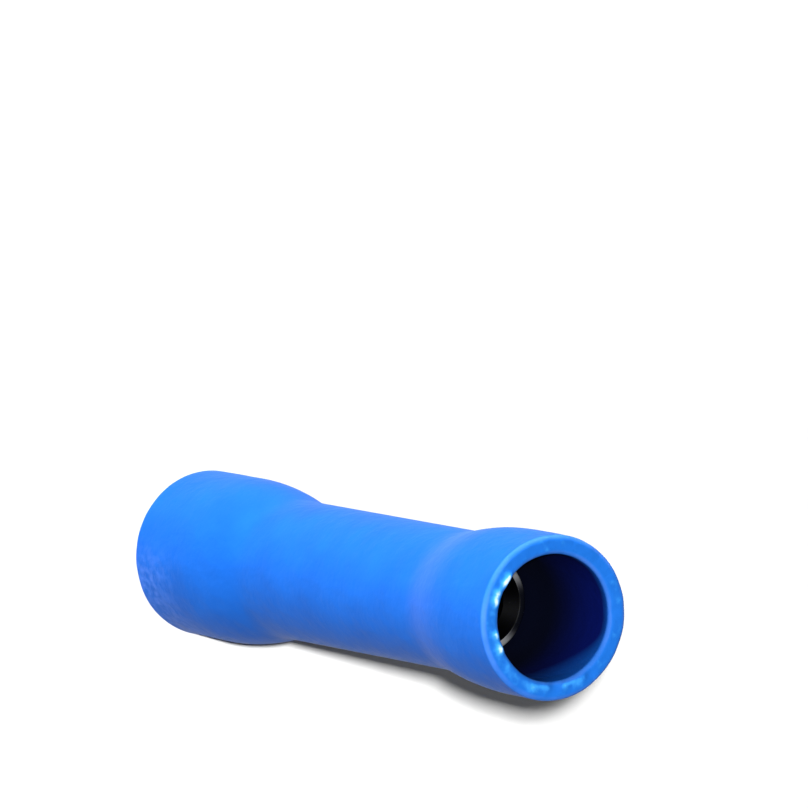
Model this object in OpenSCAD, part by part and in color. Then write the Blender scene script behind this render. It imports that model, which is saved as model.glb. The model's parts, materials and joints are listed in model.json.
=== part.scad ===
// Insulated butt splice connector, which joins two stranded wires end to end.
// A tinned copper barrel is crimped on the bare strands, and a vinyl sleeve with
// bell mouths insulates it and takes in the ends of the wires' own insulation.
// The connector stands on one of its mouths, with its axis on Z and its origin at mid-length.

/* [Crimp barrel] */
// Bore that takes the stripped strands
barrel_bore = 2.3; // [1.6:0.1:2.6]
// Thickness of the copper wall
barrel_wall = 0.7; // [0.4:0.05:0.8]
// Length from end to end
barrel_length = 15; // [10:0.5:18]
// Width of the bevel that leads the strands into the bore
lead_in_bevel = 0.45; // [0.05:0.05:0.5]
// Width of the bevel on the outer edge of each end
edge_bevel = 0.1; // [0.02:0.02:0.1]

/* [Wire stop] */
// Depth of the groove rolled round the middle, and height of the bead it raises in the bore
stop_depth = 0.45; // [0.2:0.05:0.6]
// Radius of the roller's edge that makes the groove
stop_roller_radius = 0.6; // [0.3:0.1:1.2]

/* [Insulating sleeve] */
// Length from mouth to mouth
sleeve_length = 25; // [22:0.5:34]
// Thickness of the vinyl wall
sleeve_wall = 0.7; // [0.45:0.05:0.9]
// Clearance all round between the sleeve's neck and the barrel that it grips
grip_clearance = 0.02; // [0.01:0.01:0.05]

/* [Bell mouths] */
// Bore of the mouth, which takes the wire's insulation
mouth_bore = 4.6; // [4.4:0.1:5.4]
// Straight length of the mouth, behind its end face
mouth_depth = 2.4; // [1:0.1:4]
// Radius of the long round shoulder over which the bell closes down to the neck, on the outside
shoulder_radius = 20; // [12:1:28]
// Rounding on both edges of the mouth's end face
rim_rounding = 0.2; // [0.05:0.05:0.2]

/* [Hidden] */
$fa = 1.5;
$fs = 0.06;

sleeve_colour = "#1e74ee";
barrel_colour = "#c9ccd0";

// Barrel radii, and the radius at which the roller's edge is centred
barrel_bore_radius = barrel_bore / 2;
barrel_radius = barrel_bore_radius + barrel_wall;
roller_centre_radius = barrel_radius + stop_roller_radius - stop_depth;

// The lead-in leaves a narrow flat beside the outer bevel, also on a thin wall
lead_in = min(lead_in_bevel, barrel_wall - 2 * edge_bevel);

// Sleeve radii
neck_bore_radius = barrel_radius + grip_clearance;
neck_radius = neck_bore_radius + sleeve_wall;
mouth_bore_radius = mouth_bore / 2;
mouth_radius = mouth_bore_radius + sleeve_wall;

// Places along the sleeve, counted from its middle
sleeve_end = sleeve_length / 2;
mouth_start = sleeve_end - mouth_depth;
rim_start = sleeve_end - rim_rounding;

// The shoulder's arc is centred on the far side of the axis, level with the start of the mouth
shoulder_centre_radius = mouth_radius - shoulder_radius;

// Half of the space inside the sleeve's outer surface, less a skin of the given depth.
// The shoulder runs smoothly out of the mouth and meets the neck in a crisp corner.
// Distance from the axis runs along X here, and distance from the middle along Y.
module belled_half(skin) {
    square([neck_radius - skin, rim_start]);
    intersection() {
        translate([shoulder_centre_radius, mouth_start])
            circle(shoulder_radius - skin);
        square([2 * mouth_radius, mouth_start]);
    }
    translate([0, mouth_start])
        square([mouth_radius - skin, rim_start - mouth_start]);
}

// A quarter disc that rounds one edge of the mouth's end face
module rim_edge() {
    intersection() {
        circle(rim_rounding);
        square(rim_rounding);
    }
}

// The end of the mouth's wall: a flat face between two rounded edges
module rim_section() {
    flat_width = sleeve_wall - 2 * rim_rounding;
    translate([mouth_bore_radius + rim_rounding, rim_start]) {
        square([flat_width, rim_rounding]);
        mirror([1, 0])
            rim_edge();
        translate([flat_width, 0])
            rim_edge();
    }
}

module sleeve_half_section() {
    difference() {
        belled_half(0);
        belled_half(sleeve_wall);
    }
    rim_section();
}

module insulating_sleeve() {
    color(sleeve_colour)
        rotate_extrude()
            for (end = [0, 1])
                mirror([0, end])
                    sleeve_half_section();
}

// The tube wall with its ends bevelled inside and out
module barrel_wall_section() {
    half = barrel_length / 2;
    polygon([
        [barrel_bore_radius, lead_in - half],
        [barrel_bore_radius + lead_in, -half],
        [barrel_radius - edge_bevel, -half],
        [barrel_radius, edge_bevel - half],
        [barrel_radius, half - edge_bevel],
        [barrel_radius - edge_bevel, half],
        [barrel_bore_radius + lead_in, half],
        [barrel_bore_radius, half - lead_in]
    ]);
}

// The wire stop: the roller's groove outside, and inside the bead that the wall makes round it
module crimp_barrel() {
    color(barrel_colour)
        rotate_extrude()
            difference() {
                union() {
                    barrel_wall_section();
                    intersection() {
                        translate([roller_centre_radius, 0])
                            circle(stop_roller_radius + barrel_wall);
                        translate([0, -barrel_length / 2])
                            square([barrel_radius, barrel_length]);
                    }
                }
                translate([roller_centre_radius, 0])
                    circle(stop_roller_radius);
            }
}

insulating_sleeve();
crimp_barrel();
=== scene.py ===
# %% [markdown]
# # A vinyl-insulated butt splice
# A butt splice joins two stranded wires end to end. A tinned copper barrel is crimped on the bare
# strands, and a blue vinyl sleeve with belled ends insulates it. Both pieces are tubes, so each is
# drawn here as a row of rings, one above the other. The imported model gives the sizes, and the new
# pieces stand exactly where its solids stand. Blender works in metres, and this connector is only
# 25 mm long, so sizes are written as so many millimetres.

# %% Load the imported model
import json
import math

import bmesh
import bpy
from mathutils import Matrix, Vector


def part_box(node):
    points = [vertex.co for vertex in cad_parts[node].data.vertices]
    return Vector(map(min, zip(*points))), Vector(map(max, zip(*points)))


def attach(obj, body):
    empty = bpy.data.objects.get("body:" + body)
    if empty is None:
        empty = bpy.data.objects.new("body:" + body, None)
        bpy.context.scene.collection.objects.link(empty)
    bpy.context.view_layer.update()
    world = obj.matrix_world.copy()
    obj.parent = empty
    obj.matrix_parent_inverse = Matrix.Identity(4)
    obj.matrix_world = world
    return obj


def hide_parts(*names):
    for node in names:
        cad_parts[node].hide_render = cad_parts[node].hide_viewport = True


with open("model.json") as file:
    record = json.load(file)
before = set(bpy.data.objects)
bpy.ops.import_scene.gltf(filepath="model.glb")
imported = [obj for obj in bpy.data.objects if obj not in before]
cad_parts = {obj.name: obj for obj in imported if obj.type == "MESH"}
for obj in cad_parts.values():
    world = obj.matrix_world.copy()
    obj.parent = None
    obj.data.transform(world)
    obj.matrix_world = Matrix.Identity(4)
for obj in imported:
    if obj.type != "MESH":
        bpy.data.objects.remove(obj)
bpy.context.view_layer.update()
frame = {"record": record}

MM = 0.001

# %% [markdown]
# ## Sizes
# The outer sizes are read off the solids' boxes and the bores off the record's mounts. They could be
# typed in again, but read from the frame they can't drift apart from it. The vinyl wall has one
# thickness all along, so the neck is the barrel plus one wall.

# %% Read the sizes off the frame
mounts = {mount["name"]: mount for mount in frame["record"]["mounts"]}
sleeve_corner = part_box("insulating_sleeve")[1]
barrel_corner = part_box("crimp_barrel")[1]

mouth_end = sleeve_corner[2]
mouth_radius = sleeve_corner[0]
mouth_bore = mounts["insulation_entry_a"]["dims"]["r_mm"] * MM
vinyl_wall = mouth_radius - mouth_bore
barrel_end = barrel_corner[2]
barrel_radius = barrel_corner[0]
barrel_bore = mounts["wire_entry_a"]["dims"]["r_mm"] * MM
grip_clearance = 0.02 * MM
neck_radius = barrel_radius + grip_clearance + vinyl_wall
print("mouth", round(mouth_radius / MM, 3), "neck", round(neck_radius / MM, 3), "mm in radius")

# %% [markdown]
# ## Camera
# A round part rolls, so this one stands on its end, while the picture wanted is of its side with one
# mouth turned to the viewer. The camera therefore looks down on it from well above and is rolled a
# little past a quarter turn, which lays the axis across the picture. The outline shows almost no
# perspective, so the lens is a very long one. It aims past the part, because the part sits low in
# the picture.

# %% Set up the camera
CAMERA_ELEVATION = math.radians(58.77)
CAMERA_ROLL = math.radians(99.39)
CAMERA_DISTANCE = 506 * MM
AIM_RIGHT = 1.0 * MM
AIM_UP = 6.6 * MM
LENS = 616

away = Vector((0, -math.cos(CAMERA_ELEVATION), math.sin(CAMERA_ELEVATION)))
across = Vector((1, 0, 0))
level_view = Matrix((across, away.cross(across), away)).transposed()
view = level_view @ Matrix.Rotation(CAMERA_ROLL, 3, "Z")

camera = bpy.data.objects.new("camera", bpy.data.cameras.new("camera"))
bpy.context.scene.collection.objects.link(camera)
camera.location = view @ Vector((AIM_RIGHT, AIM_UP, CAMERA_DISTANCE))
camera.rotation_euler = view.to_euler()
camera.data.lens = LENS
bpy.context.scene.camera = camera
print("camera at", [round(place / MM) for place in camera.location], "mm")

# %% [markdown]
# ## Sleeve: the shape of the bells
# The sleeve is cut from vinyl tube, and its ends are belled on a hot mandrel. A bell is a straight
# mouth, then a long round shoulder that meets the neck in a soft corner. Belling is rough work, so
# the two ends differ a little: the upper one still widens near its mouth, the lower one is fuller.
# A profile could be drawn and spun. A function that gives the radius at each height does the same,
# and it also tells later how far a point has been belled.

# %% Work out the sleeve's rings
UPPER_BELL = {"straight": 1.8 * MM, "shoulder": 18 * MM, "fullness": 0}
LOWER_BELL = {"straight": 3.2 * MM, "shoulder": 12 * MM, "fullness": 0.08 * MM}
CORNER_BLEND = 0.12 * MM
BELL_REACH = 7.2 * MM
BELL_RINGS = 30
NECK_RINGS = 22


def skin_radius(height):
    """Outer radius of the sleeve: the larger of shoulder and neck, blended where they meet."""
    bell = UPPER_BELL if height > 0 else LOWER_BELL
    past_mouth = min(max(mouth_end - abs(height) - bell["straight"], 0), bell["shoulder"])
    drop = bell["shoulder"] - math.sqrt(bell["shoulder"] ** 2 - past_mouth ** 2)
    shoulder = mouth_radius + bell["fullness"] - drop
    overlap = max(CORNER_BLEND - abs(shoulder - neck_radius), 0)
    return max(shoulder, neck_radius) + overlap ** 2 / (4 * CORNER_BLEND)


bell_heights = [mouth_end - BELL_REACH * ring / BELL_RINGS for ring in range(BELL_RINGS + 1)]
neck_end = mouth_end - BELL_REACH
neck_heights = [neck_end - 2 * neck_end * ring / NECK_RINGS for ring in range(1, NECK_RINGS)]
sleeve_heights = bell_heights + neck_heights + [-height for height in reversed(bell_heights)]
sleeve_rings = [(skin_radius(height), height) for height in sleeve_heights]
print("sleeve:", len(sleeve_rings), "rings, up to", round(max(sleeve_rings)[0] / MM, 2), "mm in radius")

# %% [markdown]
# ## Sleeve: the outer skin
# By hand one would add a circle, extrude it along the axis, scale the new ring about its own centre,
# and go on to the next. A function does just that, because the barrel is drawn in the same way.

# %% Pull the skin out of a circle
SLEEVE_SIDES = 240


def pull_rings(name, sides, rings):
    """Draws a skin through rings, given as pairs of radius and height, and stays in edit mode."""
    bpy.ops.object.select_all(action="DESELECT")
    radius, height = rings[0]
    bpy.ops.mesh.primitive_circle_add(vertices=sides, radius=radius, location=(0, 0, height))
    piece = bpy.context.object
    piece.name = name
    piece.data.name = name
    bpy.ops.object.transform_apply(location=True, rotation=True, scale=True)
    bpy.ops.object.mode_set(mode="EDIT")
    bpy.ops.mesh.select_all(action="SELECT")
    for next_radius, next_height in rings[1:]:
        step = (0, 0, next_height - height)
        bpy.ops.mesh.extrude_region_move(TRANSFORM_OT_translate={"value": step})
        grow = next_radius / radius
        bpy.ops.transform.resize(value=(grow, grow, 1), center_override=(0, 0, next_height))
        radius, height = next_radius, next_height
    return piece


sleeve = pull_rings("vinyl_sleeve", SLEEVE_SIDES, sleeve_rings)
bpy.ops.mesh.select_all(action="SELECT")
bpy.ops.mesh.normals_make_consistent(inside=False)
bpy.ops.object.mode_set(mode="OBJECT")
print("sleeve skin:", len(sleeve.data.polygons), "faces")

# %% [markdown]
# ## Sleeve: hand-formed bells and the wall
# A hot mandrel leaves the bells slightly out of round. Points could be pulled by hand, but a Displace
# modifier with a slow cloud texture gives an even swell all round. A vertex group keeps it off the
# neck, which fits tight on the barrel. Solidify then gives the tube its wall on the inside, so the
# bore follows every swell of the skin.

# %% Form the bells and thicken the wall
BELL_SWELL = 0.10 * MM
SWELL_SIZE = 3.5 * MM


def apply_all(piece):
    """Applies the piece's modifiers in order."""
    for modifier in list(piece.modifiers):
        bpy.ops.object.modifier_apply(modifier=modifier.name)


bells = sleeve.vertex_groups.new(name="bells")
for vertex in sleeve.data.vertices:
    opened = (skin_radius(vertex.co.z) - neck_radius) / (mouth_radius - neck_radius)
    bells.add([vertex.index], min(max(opened, 0), 1), "REPLACE")

swell = bpy.data.textures.new("mandrel_swell", "CLOUDS")
swell.noise_scale = SWELL_SIZE
modifier = sleeve.modifiers.new("mandrel_swell", "DISPLACE")
modifier.texture = swell
modifier.texture_coords = "LOCAL"
modifier.vertex_group = "bells"
modifier.strength = BELL_SWELL

modifier = sleeve.modifiers.new("wall", "SOLIDIFY")
modifier.thickness = vinyl_wall
modifier.offset = -1
modifier.use_even_offset = True
apply_all(sleeve)
print("sleeve wall:", len(sleeve.data.polygons), "faces")

# %% [markdown]
# ## Sleeve: the cut ends
# A knife cuts the tube to length, which leaves two sharp edges at each end. With a mouse one would
# click on these rings of edges. In code they are picked by where they lie: both points of such an edge
# are in an end face, at the same distance from the axis.

# %% Find the edges of the cut
RIM_ROUNDING = 0.2 * MM
TOUCH = 0.03 * MM


def pick(piece, kind, test):
    """In edit mode, selects only the vertices or edges that pass a test, and counts them."""
    bpy.ops.mesh.select_mode(type=kind)
    bpy.ops.mesh.select_all(action="DESELECT")
    mesh = bmesh.from_edit_mesh(piece.data)
    found = [part for part in (mesh.verts if kind == "VERT" else mesh.edges) if test(part)]
    for part in found:
        part.select_set(True)
    bmesh.update_edit_mesh(piece.data)
    return len(found)


def radius_of(vertex):
    """Distance of a vertex from the connector's axis."""
    return vertex.co.xy.length


def on_end_face(edge):
    """True for an edge that lies in one of the sleeve's end faces."""
    return all(abs(abs(vertex.co.z) - mouth_end) < TOUCH for vertex in edge.verts)


def crosses_wall(edge):
    """True for an edge that runs from the outside of the wall towards the bore."""
    return abs(radius_of(edge.verts[0]) - radius_of(edge.verts[1])) > RIM_ROUNDING / 2


bpy.ops.object.mode_set(mode="EDIT")
rim_edges = pick(sleeve, "EDGE", lambda edge: on_end_face(edge) and not crosses_wall(edge))
print("cut ends:", rim_edges, "edges round the rims")

# %% [markdown]
# ## Sleeve: rounded rims
# The heat of belling softens the cut edges, so they are bevelled round. A Bevel modifier would take
# every sharp edge, while the operator takes only those that were picked. The narrow flat between them
# is subdivided, so that it has enough points to be uneven.

# %% Round the cut edges
ROUNDING_STEPS = 5
FLAT_CUTS = 3

bpy.ops.mesh.bevel(offset=RIM_ROUNDING, segments=ROUNDING_STEPS, affect="EDGES", clamp_overlap=False)
flat_edges = pick(sleeve, "EDGE", lambda edge: on_end_face(edge) and crosses_wall(edge))
bpy.ops.mesh.subdivide(number_cuts=FLAT_CUTS)
bpy.ops.object.mode_set(mode="OBJECT")
print("rims:", len(sleeve.data.polygons), "faces,", flat_edges, "edges cut across the flat")

# %% [markdown]
# ## Sleeve: a lumpy cut
# Up close the cut is ragged, because the blade drags the soft vinyl. Points moved at random would
# make spikes, so a fine cloud texture makes the whole cut lumpy instead. A vertex group keeps it to
# the rims, full on the end face and fading out down the rounding.

# %% Make the cut lumpy
RIM_LUMP = 0.05 * MM
LUMP_SIZE = 0.55 * MM

cut_rims = sleeve.vertex_groups.new(name="cut_rims")
for vertex in sleeve.data.vertices:
    below_rim = mouth_end - abs(vertex.co.z)
    cut_rims.add([vertex.index], min(max(1 - below_rim / RIM_ROUNDING, 0), 1), "REPLACE")

lumps = bpy.data.textures.new("knife_lumps", "CLOUDS")
lumps.noise_scale = LUMP_SIZE
modifier = sleeve.modifiers.new("knife_lumps", "DISPLACE")
modifier.texture = lumps
modifier.texture_coords = "LOCAL"
modifier.vertex_group = "cut_rims"
modifier.strength = RIM_LUMP
apply_all(sleeve)
print("cut: up to", round((max(v.co.z for v in sleeve.data.vertices) - mouth_end) / MM, 3), "mm proud")

# %% [markdown]
# ## Sleeve: burrs and nicks
# The blade also drags small crumbs and folds of vinyl over the edge. Single burrs are pulled up by
# moving one point with proportional editing, as one would with a mouse, and nicks are pushed in the
# same way. The lower end carries the part, so whatever hangs below it is pressed flat.

# %% Pull up burrs and push in nicks
# Angle round the axis in degrees, then distance from the axis, spread and lift in millimetres
BURRS = [
    (-18, 2.60, 0.35, 0.03),
    (-8, 2.58, 0.40, 0.03),
    (2, 2.48, 0.35, 0.03),
    (12, 2.40, 0.35, -0.07),
    (21, 2.48, 0.30, 0.04),
    (30, 2.44, 0.35, 0.045),
    (38, 2.50, 0.35, 0.04),
    (47, 2.66, 0.35, -0.06),
    (102, 2.42, 0.40, -0.05),
    (150, 2.62, 0.60, -0.04),
    (241, 2.42, 0.30, 0.07),
    (247, 2.46, 0.35, 0.09),
    (258, 2.58, 0.32, 0.065),
    (265, 2.60, 0.35, 0.07),
    (292, 2.48, 0.32, 0.07),
    (305, 2.42, 0.35, 0.085),
]

bpy.ops.object.mode_set(mode="EDIT")
for angle, radius, spread, lift in BURRS:
    turn = math.radians(angle)
    place = Vector((radius * math.cos(turn), radius * math.sin(turn), mouth_end / MM)) * MM
    mesh = bmesh.from_edit_mesh(sleeve.data)
    nearest = min(mesh.verts, key=lambda vertex: (vertex.co - place).length).index
    pick(sleeve, "VERT", lambda vertex: vertex.index == nearest)
    bpy.ops.transform.translate(
        value=(0, 0, lift * MM),
        use_proportional_edit=True,
        proportional_edit_falloff="SMOOTH",
        proportional_size=spread * MM,
    )
pressed = pick(sleeve, "VERT", lambda vertex: vertex.co.z < -mouth_end)
bpy.ops.transform.resize(value=(1, 1, 0), center_override=(0, 0, -mouth_end))
bpy.ops.object.mode_set(mode="OBJECT")
bpy.ops.object.shade_smooth()
print("rims roughened:", len(BURRS), "burrs and nicks,", pressed, "points pressed flat below")

# %% [markdown]
# ## Barrel
# The barrel is a short copper tube, tinned, with a groove rolled round its middle: the bead that it
# raises in the bore stops both wires. The rings run up the outside, over the end, down the bore and
# back, and the last ring is merged with the first. A Boolean could cut the groove out of a plain
# tube, but rings keep the mesh even. The groove and the bead are arcs about one centre, a wall apart,
# because the roller bends the wall without thinning it.

# %% Draw the barrel
BARREL_SIDES = 160
STOP_DEPTH = 0.45 * MM
ROLLER_RADIUS = 0.6 * MM
ARC_STEPS = 12
TUBE_STEPS = 10
MERGE_DISTANCE = 0.001 * MM

copper_wall = barrel_radius - barrel_bore
roller_centre = barrel_radius + ROLLER_RADIUS - STOP_DEPTH


def tube_with_stop(tube_radius, arc_radius):
    """Rings up one side of the barrel: straight, round the roller's arc, and straight again."""
    half_turn = math.acos((roller_centre - tube_radius) / arc_radius)
    arc_end = arc_radius * math.sin(half_turn)
    lower = [-barrel_end + (barrel_end - arc_end) * step / TUBE_STEPS for step in range(TUBE_STEPS)]
    turns = [half_turn * (2 * step / ARC_STEPS - 1) for step in range(ARC_STEPS + 1)]
    arc = [(roller_centre - arc_radius * math.cos(t), arc_radius * math.sin(t)) for t in turns]
    upper = [(tube_radius, -height) for height in reversed(lower)]
    return [(tube_radius, height) for height in lower] + arc + upper


outside = tube_with_stop(barrel_radius, ROLLER_RADIUS)
inside = tube_with_stop(barrel_bore, ROLLER_RADIUS + copper_wall)
barrel = pull_rings("tinned_barrel", BARREL_SIDES, outside + inside[::-1] + outside[:1])
bpy.ops.mesh.select_all(action="SELECT")
bpy.ops.mesh.remove_doubles(threshold=MERGE_DISTANCE)
bpy.ops.mesh.normals_make_consistent(inside=False)
print("barrel:", len(outside) + len(inside), "rings of", BARREL_SIDES, "before bevelling")

# %% [markdown]
# ## Barrel: ends
# Sawn tube is tumbled, which rounds its outer edges, and its bore is opened with a cone so that no
# strand catches on the way in. Both are bevels on an edge of the end face: a small round one outside
# and a wider flat one inside.

# %% Bevel the barrel's ends
LEAD_IN = 0.45 * MM
TUMBLED_EDGE = 0.1 * MM
EDGE_STEPS = 4
CREASE_ANGLE = math.radians(35)


def end_ring(edge, radius):
    """True for an edge of the ring of the given radius at either end of the barrel."""
    return all(
        abs(abs(vertex.co.z) - barrel_end) < TOUCH and abs(radius_of(vertex) - radius) < TOUCH
        for vertex in edge.verts
    )


pick(barrel, "EDGE", lambda edge: end_ring(edge, barrel_bore))
bpy.ops.mesh.bevel(offset=LEAD_IN, segments=1, affect="EDGES", clamp_overlap=False)
pick(barrel, "EDGE", lambda edge: end_ring(edge, barrel_radius))
bpy.ops.mesh.bevel(offset=TUMBLED_EDGE, segments=EDGE_STEPS, affect="EDGES", clamp_overlap=False)
bpy.ops.object.mode_set(mode="OBJECT")
bpy.ops.object.shade_smooth_by_angle(angle=CREASE_ANGLE)
print("barrel:", len(barrel.data.polygons), "faces")

# %% [markdown]
# ## Satin blue vinyl
# The sleeve is pigmented PVC, extruded and then belled, so to the eye it is a deep satin blue, paler
# where it was stretched. Pale specks on one side of the foot, the paler cut and the burrs' pale tips
# are painted light, and the dark bore is painted shade. Its material is built up cell by cell. One
# function adds a node, sets it up and links it. Where two sockets of a node have the same name, as on a
# Math node, the second goes by its identifier, such as Value_001. Every pattern reads the piece's own
# coordinates, so it stays on the piece when that moves.

# %% Start the vinyl
def add_node(material, kind, sockets=None, **settings):
    """Adds a node, sets it up, and fills its sockets with values, outputs or other nodes."""
    node = material.node_tree.nodes.new(kind)
    for name, value in settings.items():
        setattr(node, name, value)
    for name, value in (sockets or {}).items():
        socket = [s for s in node.inputs if s.enabled and name in (s.name, s.identifier)][0]
        if isinstance(value, bpy.types.Node):
            value = [output for output in value.outputs if output.enabled][0]
        if isinstance(value, bpy.types.NodeSocket):
            material.node_tree.links.new(value, socket)
        else:
            socket.default_value = value
    return node


def new_material(name):
    """An empty material, and the output that gives the piece's own coordinates."""
    material = bpy.data.materials.new(name)
    material.use_nodes = True
    material.node_tree.nodes.clear()
    return material, add_node(material, "ShaderNodeTexCoord").outputs["Object"]


vinyl, place = new_material("satin_blue_pvc")
print("started", vinyl.name, "on its", place.name, "coordinates")

# %% [markdown]
# ## Vinyl: the skin
# The blue wanders a little, which a slow noise texture gives. Where the upper bell was stretched the
# plastic has paled to lavender: two smooth ramps along the axis, multiplied, give a band that fades
# out at both ends. Colours are written as the hex values that one reads off a screen, and turned to
# linear light for the shader. Texture scales come from real sizes: a pattern of so many millimetres
# repeats that often in a metre.

# %% Colour the skin
def linear(hex_colour):
    """The linear colour of an sRGB hex value, with full opacity."""
    shares = [int(hex_colour[start:start + 2], 16) / 255 for start in (1, 3, 5)]
    return [s / 12.92 if s <= 0.04045 else ((s + 0.055) / 1.055) ** 2.4 for s in shares] + [1]


def per_metre(millimetres):
    """Texture scale for a pattern of the given size."""
    return 1 / (millimetres * MM)


mottle = add_node(vinyl, "ShaderNodeTexNoise", {
    "Vector": place, "Scale": per_metre(1.8), "Detail": 4, "Roughness": 0.55})
colour = add_node(vinyl, "ShaderNodeMix", {
    "Factor": mottle, "A": linear("#0c489b"), "B": linear("#145ab5")}, data_type="RGBA")

split = add_node(vinyl, "ShaderNodeSeparateXYZ", {"Vector": place})
height = split.outputs["Z"]
stretched = add_node(vinyl, "ShaderNodeMapRange", {
    "Value": height, "From Min": mouth_end - 6.5 * MM, "From Max": mouth_end - 5.1 * MM,
    "To Min": 0, "To Max": 0.115}, interpolation_type="SMOOTHSTEP")
relaxed = add_node(vinyl, "ShaderNodeMapRange", {
    "Value": height, "From Min": mouth_end - 5.1 * MM, "From Max": mouth_end - 3.0 * MM,
    "To Min": 1, "To Max": 0}, interpolation_type="SMOOTHSTEP")
paled = add_node(vinyl, "ShaderNodeMath", {
    "Value": stretched, "Value_001": relaxed}, operation="MULTIPLY")
colour = add_node(vinyl, "ShaderNodeMix", {
    "Factor": paled, "A": colour, "B": linear("#5f78d8")}, data_type="RGBA")
print("skin:", len(vinyl.node_tree.nodes), "nodes")

# %% [markdown]
# ## Vinyl: painted bounce light on the foot
# One side of the lower bell's foot is painted paler, for the light that the floor throws back on it.
# Fine noise, levelled off at its low end, leaves specks in a faint haze. A ramp along the axis keeps
# them to the foot. A ramp across it keeps them to one side: the dot product with a direction says how
# far a point lies that way. The specks are drawn as coarse as they need to be to show.

# %% Paint bounce light on the foot
BOUNCE_LIT_SIDE = (0.9, -0.44, 0)

grains = add_node(vinyl, "ShaderNodeTexNoise", {
    "Vector": place, "Scale": per_metre(0.3), "Detail": 2, "Roughness": 0.5})
specks = add_node(vinyl, "ShaderNodeMapRange", {
    "Value": grains, "From Min": 0.4, "From Max": 0.7, "To Min": 0.04, "To Max": 0.3})
at_foot = add_node(vinyl, "ShaderNodeMapRange", {
    "Value": height, "From Min": 0.6 * MM - mouth_end, "From Max": 3.5 * MM - mouth_end,
    "To Min": 1, "To Max": 0}, interpolation_type="SMOOTHSTEP")
sideways = add_node(vinyl, "ShaderNodeVectorMath", {
    "Vector": place, "Vector_001": BOUNCE_LIT_SIDE}, operation="DOT_PRODUCT").outputs["Value"]
one_side = add_node(vinyl, "ShaderNodeMapRange", {
    "Value": sideways, "From Min": 1.0 * MM, "From Max": 2.6 * MM, "To Min": 0, "To Max": 1},
    interpolation_type="SMOOTHSTEP")
bounce_side_mask = add_node(vinyl, "ShaderNodeMath", {
    "Value": at_foot, "Value_001": one_side}, operation="MULTIPLY")
painted_bounce_light = add_node(vinyl, "ShaderNodeMath", {
    "Value": specks, "Value_001": bounce_side_mask}, operation="MULTIPLY")
# Painted light: pale specks for the floor's bounce light on this side of the foot.
colour = add_node(vinyl, "ShaderNodeMix", {
    "Factor": painted_bounce_light, "A": colour, "B": linear("#668adf")}, data_type="RGBA")
print("skin with scuffs:", len(vinyl.node_tree.nodes), "nodes")

# %% [markdown]
# ## Vinyl: painted shade in the bore
# The bore is painted dark as shade, darker further in. The distance from the axis tells bore from
# skin. Near the rim the painted shade fades out, over half a millimetre on most of the rim and over
# more on one side, where painted light stands for the light that reaches further in there. So the
# distance from the rim is divided by how far that painted light reaches.

# %% Paint shade into the bore
depth = add_node(vinyl, "ShaderNodeMath", {"Value": height}, operation="ABSOLUTE")
flat = add_node(vinyl, "ShaderNodeVectorMath", {
    "Vector": place, "Vector_001": (1, 1, 0)}, operation="MULTIPLY")
axis_distance = add_node(vinyl, "ShaderNodeVectorMath", {
    "Vector": flat}, operation="LENGTH").outputs["Value"]
in_bore = add_node(vinyl, "ShaderNodeMapRange", {
    "Value": axis_distance, "From Min": mouth_bore + 0.06 * MM, "From Max": mouth_bore + 0.14 * MM,
    "To Min": 1, "To Max": 0}, interpolation_type="SMOOTHSTEP")

from_rim = add_node(vinyl, "ShaderNodeMath", {
    "Value": mouth_end, "Value_001": depth}, operation="SUBTRACT")
# Painted light: on one side the painted shade starts further in, for light that reaches deeper there.
painted_light_reach = add_node(vinyl, "ShaderNodeMapRange", {
    "Value": split.outputs["X"], "From Min": 0.2 * MM, "From Max": 2.3 * MM,
    "To Min": 0.5 * MM, "To Max": 2.4 * MM}, interpolation_type="SMOOTHSTEP")
shade_fade = add_node(vinyl, "ShaderNodeMath", {
    "Value": from_rim, "Value_001": painted_light_reach}, operation="DIVIDE")
behind = add_node(vinyl, "ShaderNodeMapRange", {
    "Value": shade_fade, "From Min": 0, "From Max": 1, "To Min": 0.15, "To Max": 1})
painted_bore_shade = add_node(vinyl, "ShaderNodeMath", {
    "Value": in_bore, "Value_001": behind}, operation="MULTIPLY")

# Painted shade: the bore is painted darker further in, where less light reaches.
deeper_shade = add_node(vinyl, "ShaderNodeMapRange", {
    "Value": depth, "From Min": barrel_end + 1.0 * MM, "From Max": mouth_end - 0.5 * MM,
    "To Min": 1, "To Max": 0}, interpolation_type="SMOOTHSTEP")
painted_shade_colour = add_node(vinyl, "ShaderNodeMix", {
    "Factor": deeper_shade, "A": linear("#040f52"), "B": linear("#020412")}, data_type="RGBA")
colour = add_node(vinyl, "ShaderNodeMix", {
    "Factor": painted_bore_shade, "A": colour, "B": painted_shade_colour}, data_type="RGBA")
print("skin and bore:", len(vinyl.node_tree.nodes), "nodes")

# %% [markdown]
# ## Vinyl: painted light on the cut
# The end faces are painted paler than the skin, for the light that they catch, and painted highlights
# lie in patches along their two rounded edges. The height tells the end face, the distance from the
# axis tells its edges, and the noise of the skin breaks them up.

# %% Paint light on the cut
cut = add_node(vinyl, "ShaderNodeMapRange", {
    "Value": depth, "From Min": mouth_end - 0.2 * MM, "From Max": mouth_end - 0.08 * MM,
    "To Min": 0, "To Max": 0.6}, interpolation_type="SMOOTHSTEP")
# Painted light: the end faces are painted paler for the light that they catch.
colour = add_node(vinyl, "ShaderNodeMix", {
    "Factor": cut, "A": colour, "B": linear("#1f6cc8")}, data_type="RGBA")

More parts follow.
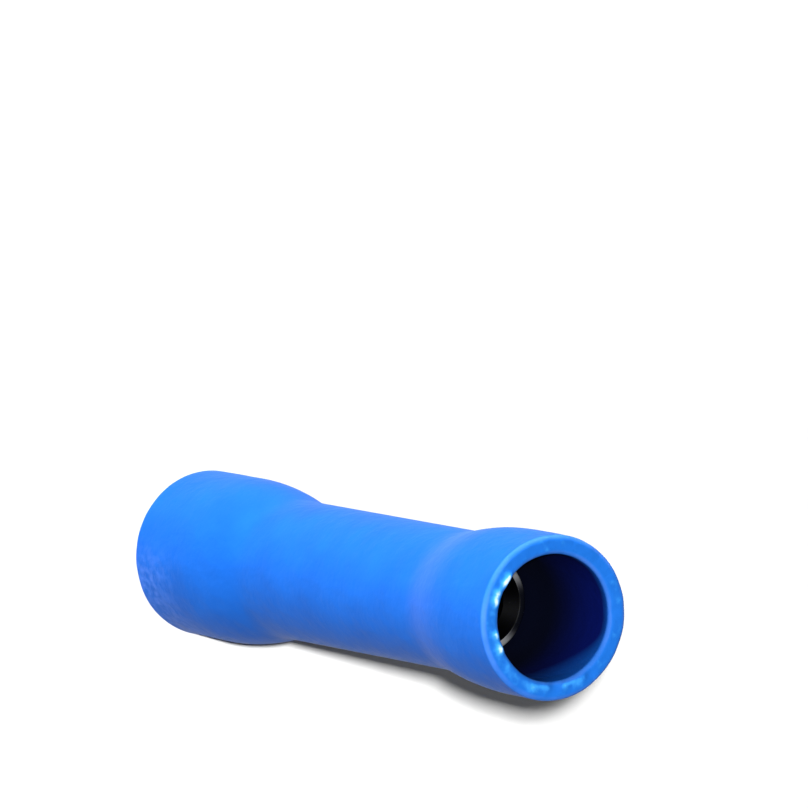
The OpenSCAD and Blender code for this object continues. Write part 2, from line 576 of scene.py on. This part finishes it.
outer = add_node(vinyl, "ShaderNodeMapRange", {
    "Value": axis_distance, "From Min": mouth_radius - 0.2 * MM, "From Max": mouth_radius - 0.08 * MM,
    "To Min": 0, "To Max": 1}, interpolation_type="SMOOTHSTEP")
inner = add_node(vinyl, "ShaderNodeMapRange", {
    "Value": axis_distance, "From Min": mouth_bore + 0.06 * MM, "From Max": mouth_bore + 0.18 * MM,
    "To Min": 1, "To Max": 0}, interpolation_type="SMOOTHSTEP")
edges = add_node(vinyl, "ShaderNodeMath", {
    "Value": outer, "Value_001": inner}, operation="ADD")
patchy = add_node(vinyl, "ShaderNodeMapRange", {
    "Value": mottle, "From Min": 0.4, "From Max": 0.6, "To Min": 0.3, "To Max": 1})
highlight_patches = add_node(vinyl, "ShaderNodeMath", {
    "Value": edges, "Value_001": patchy}, operation="MULTIPLY")
painted_edge_highlights = add_node(vinyl, "ShaderNodeMath", {
    "Value": highlight_patches, "Value_001": cut}, operation="MULTIPLY")
# Painted highlights along the rounded edges of the end faces.
colour = add_node(vinyl, "ShaderNodeMix", {
    "Factor": painted_edge_highlights, "A": colour, "B": linear("#4472c8")}, data_type="RGBA")
print("with the cut:", len(vinyl.node_tree.nodes), "nodes")

# %% [markdown]
# ## Vinyl: painted highlights on the burrs
# The burrs carry a painted highlight, and the highest of them a near-white painted glint. They stand
# up past the cut, so their distance from mid-length tells them from the rest. A little fine noise is
# added to it, or the painted tips would end in a clean line.

# %% Paint highlights on the burrs
ragged = add_node(vinyl, "ShaderNodeMath", {
    "Value": grains, "Value_001": 0.08 * MM, "Value_002": depth}, operation="MULTIPLY_ADD")
painted_burr_highlight = add_node(vinyl, "ShaderNodeMapRange", {
    "Value": ragged, "From Min": mouth_end + 0.04 * MM, "From Max": mouth_end + 0.1 * MM,
    "To Min": 0, "To Max": 0.7}, interpolation_type="SMOOTHSTEP")
# Painted highlight on the burrs.
colour = add_node(vinyl, "ShaderNodeMix", {
    "Factor": painted_burr_highlight, "A": colour, "B": linear("#3f9fe8")}, data_type="RGBA")
painted_burr_glints = add_node(vinyl, "ShaderNodeMapRange", {
    "Value": ragged, "From Min": mouth_end + 0.085 * MM, "From Max": mouth_end + 0.13 * MM,
    "To Min": 0, "To Max": 0.95}, interpolation_type="SMOOTHSTEP")
# Painted glint: near white on the highest burrs.
colour = add_node(vinyl, "ShaderNodeMix", {
    "Factor": painted_burr_glints, "A": colour, "B": linear("#d2e9fc")}, data_type="RGBA")
print("with the burrs:", len(vinyl.node_tree.nodes), "nodes")

# %% [markdown]
# ## Vinyl: the surface
# The skin is satin with a faint orange peel, which a bump from noise gives. Its gloss wanders with the
# colour, and the bore, which is painted dark as shade, has none. PVC's index of refraction is 1.54, and
# handling has taken most of its shine.

# %% Finish the vinyl
peel = add_node(vinyl, "ShaderNodeTexNoise", {
    "Vector": place, "Scale": per_metre(0.7), "Detail": 4, "Roughness": 0.55})
bump = add_node(vinyl, "ShaderNodeBump", {
    "Height": peel, "Strength": 0.8, "Distance": 0.06 * MM})
satin = add_node(vinyl, "ShaderNodeMapRange", {
    "Value": mottle, "To Min": 0.36, "To Max": 0.52})
roughness = add_node(vinyl, "ShaderNodeMath", {
    "Value": satin, "Value_001": painted_bore_shade}, operation="MAXIMUM")
shader = add_node(vinyl, "ShaderNodeBsdfPrincipled", {
    "Base Color": colour, "Roughness": roughness, "IOR": 1.54, "Specular IOR Level": 0.024,
    "Normal": bump})
add_node(vinyl, "ShaderNodeOutputMaterial", {"Surface": shader})
print("made", vinyl.name, "with", len(vinyl.node_tree.nodes), "nodes")

# %% [markdown]
# ## Tin plate on drawn copper
# The barrel is drawn copper tube with a thin coat of tin, a soft pale grey metal with a cloudy tone.
# Drawing leaves the tube smooth, so it mirrors the dark inside of the sleeve, with fine lines along
# the axis. A Mapping node stretches the pattern of the lines along it. Real lines are finer, and these
# are drawn as coarse as they need to be to show.

# %% Draw the tube's lines
tin, place = new_material("tin_plate_on_copper")
along = add_node(tin, "ShaderNodeMapping", {"Vector": place, "Scale": (1, 1, 0.04)})
lines = add_node(tin, "ShaderNodeTexNoise", {
    "Vector": along, "Scale": per_metre(0.12), "Detail": 2})
bump = add_node(tin, "ShaderNodeBump", {
    "Height": lines, "Strength": 0.1, "Distance": 0.005 * MM})
clouds = add_node(tin, "ShaderNodeTexNoise", {
    "Vector": place, "Scale": per_metre(1.2), "Detail": 4})
colour = add_node(tin, "ShaderNodeMix", {
    "Factor": clouds, "A": linear("#9c9ea2"), "B": linear("#c8cacc")}, data_type="RGBA")
print("tin with lines:", len(tin.node_tree.nodes), "nodes")

# %% [markdown]
# ## Tin: sawn ends
# Only the sawn end faces are rough and catch the light, most of all where the saw came in and went
# out. One ramp finds the end faces by their height, the other the two sides of the saw's path.

# %% Roughen the ends and finish the tin
split = add_node(tin, "ShaderNodeSeparateXYZ", {"Vector": place})
depth = add_node(tin, "ShaderNodeMath", {"Value": split.outputs["Z"]}, operation="ABSOLUTE")
end_face = add_node(tin, "ShaderNodeMapRange", {
    "Value": depth, "From Min": barrel_end - 0.03 * MM, "From Max": barrel_end - 0.01 * MM,
    "To Min": 0, "To Max": 1}, interpolation_type="SMOOTHSTEP")
aside = add_node(tin, "ShaderNodeMath", {"Value": split.outputs["X"]}, operation="ABSOLUTE")
saw_marks = add_node(tin, "ShaderNodeMapRange", {
    "Value": aside, "From Min": 0.5 * MM, "From Max": 1.3 * MM, "To Min": 0.1, "To Max": 1},
    interpolation_type="SMOOTHSTEP")
sawn = add_node(tin, "ShaderNodeMath", {
    "Value": end_face, "Value_001": saw_marks}, operation="MULTIPLY")
roughness = add_node(tin, "ShaderNodeMapRange", {
    "Value": sawn, "To Min": 0.1, "To Max": 0.58})
shader = add_node(tin, "ShaderNodeBsdfPrincipled", {
    "Base Color": colour, "Metallic": 1, "Roughness": roughness, "Normal": bump})
add_node(tin, "ShaderNodeOutputMaterial", {"Surface": shader})
print("made", tin.name, "with", len(tin.node_tree.nodes), "nodes")

# %% [markdown]
# ## Floor
# The part stands on pale matt card. The light is set so that the card comes out just white, and then
# only the part's own shadow shows on it. The card throws light back on the sides of the part. Its grain
# is drawn coarser than the fibres of real card, which would not show.

# %% Lay the floor
FLOOR_SIZE = 1200 * MM

card, place = new_material("pale_card")
grain = add_node(card, "ShaderNodeTexNoise", {
    "Vector": place, "Scale": per_metre(0.6), "Detail": 2})
colour = add_node(card, "ShaderNodeMix", {
    "Factor": grain, "A": linear("#d8d8d7"), "B": linear("#dededd")}, data_type="RGBA")
shader = add_node(card, "ShaderNodeBsdfPrincipled", {"Base Color": colour, "Roughness": 0.9})
add_node(card, "ShaderNodeOutputMaterial", {"Surface": shader})

bpy.ops.object.select_all(action="DESELECT")
bpy.ops.mesh.primitive_plane_add(size=FLOOR_SIZE, location=(0, 0, -mouth_end))
floor = bpy.context.object
floor.name = "floor"
bpy.ops.object.transform_apply(location=True, rotation=True, scale=True)
floor.data.materials.append(card)
print("floor of", card.name, "at", round(-mouth_end / MM, 2), "mm")

# %% [markdown]
# ## Light
# Lights are easiest to place in the camera's own directions: so much to the right, up and towards it.
# A long strip on the picture's upper side shades the sleeve from light to dark. It lies level with
# the part, so that it barely touches the card and doesn't shine into the mouths. A small softbox close
# to the camera lights all that the camera sees, and leaves a narrow dark shadow along the part's lower
# edge. Brightness is given as the softbox's own, where 1 is white paper, and turned into watts.

# %% Set up the lights
def softbox(name, right, up, towards, distance, width, height, brightness):
    """An oblong area light in the camera's own directions that faces the part."""
    lamp = bpy.data.lights.new(name, "AREA")
    lamp.shape = "RECTANGLE"
    lamp.size = width
    lamp.size_y = height
    lamp.energy = brightness * math.pi * width * height
    box = bpy.data.objects.new(name, lamp)
    bpy.context.scene.collection.objects.link(box)
    direction = (view @ Vector((right, up, towards))).normalized()
    box.location = direction * distance
    box.rotation_euler = direction.to_track_quat("Z", "Y").to_euler()
    box.visible_camera = False
    return box


key = softbox("key", right=-0.298, up=0.970, towards=0.275, distance=400 * MM,
              width=600 * MM, height=24 * MM, brightness=108)
fill = softbox("beside_camera", right=0.022, up=0.034, towards=1.0, distance=530 * MM,
               width=14 * MM, height=14 * MM, brightness=7900)
print("lights:", [(light.name, round(light.data.energy, 2)) for light in (key, fill)], "W")

# %% [markdown]
# ## Surroundings
# A faint even glow from all round stands for a white room, and keeps the deepest shadows from going
# black. The Standard view shows colours as they are, without the softening of a film look.

# %% Set the surroundings
ROOM_GLOW = 0.05

world = bpy.data.worlds.new("studio")
world.use_nodes = True
background = world.node_tree.nodes["Background"]
background.inputs["Color"].default_value = linear("#f4f6fa")
background.inputs["Strength"].default_value = ROOM_GLOW
bpy.context.scene.world = world
bpy.context.scene.view_settings.view_transform = "Standard"
print("world", world.name, "with a glow of", ROOM_GLOW)

# %% [markdown]
# ## Put the pieces in the frame
# Each new piece takes its material, rides on the part's one body and stands for the solid that it
# replaces.

# %% Replace the solids and finish
for piece, material, node, slot in (
    (sleeve, vinyl, "insulating_sleeve", "blue_vinyl"),
    (barrel, tin, "crimp_barrel", "tinned_copper"),
):
    piece.data.materials.append(material)
    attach(piece, "root")
    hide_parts(node)
    print(piece.name, "replaces", node, "with", len(piece.data.polygons), "faces")
